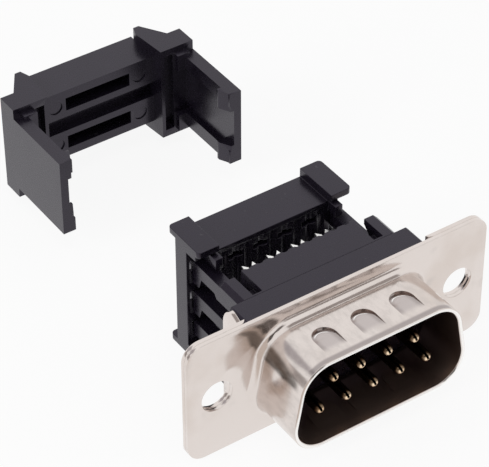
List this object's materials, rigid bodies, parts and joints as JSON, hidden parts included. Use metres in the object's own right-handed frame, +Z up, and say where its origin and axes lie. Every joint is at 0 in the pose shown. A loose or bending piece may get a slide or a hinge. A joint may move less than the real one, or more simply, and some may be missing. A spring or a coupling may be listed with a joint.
{
  "type": "d-sub ribbon cable connector",
  "caption": "Male D-sub connector for flat ribbon cable, with metal face, two-part black body, press-on cable cover standing open and strain relief clip taken off.",
  "frame": {"origin": "centre of the line between the two flange screw holes, at the flange's front face", "axes": "+X along the flange, left to right in the picture; +Y back from the mating face towards the cable; +Z up, with the wide side of the D down"},
  "size_m": [0.0308, 0.0485, 0.0128],
  "materials": {
    "plated_shell": "bright nickel plating",
    "plated_bracket": "bright nickel plating",
    "black_body": "satin moulded",
    "contact_metal": "gold flash on the pin, tin on the fork",
    "black_cover": "satin moulded",
    "black_relief": "satin moulded"
  },
  "bodies": {
    "connector": {"front_shell": "plated_shell", "bracket_left": "plated_bracket", "bracket_right": "plated_bracket", "front_insulator": "black_body", "rear_insulator": "black_body", "contact_1": "contact_metal", "contact_2": "contact_metal", "contact_3": "contact_metal", "contact_4": "contact_metal", "contact_5": "contact_metal", "contact_6": "contact_metal", "contact_7": "contact_metal", "contact_8": "contact_metal", "contact_9": "contact_metal"},
    "cover": {"cable_cover": "black_cover"},
    "relief": {"strain_relief": "black_relief"}
  },
  "joints": [
    {"name": "cover_press", "type": "slide", "parent": "connector", "child": "cover", "axis": [0, -1, 0], "range_m": [0, 0.0028]},
    {"name": "relief_push", "type": "slide", "parent": "cover", "child": "relief", "axis": [0, -1, 0], "range_m": [0, 0.0227]}
  ]
}
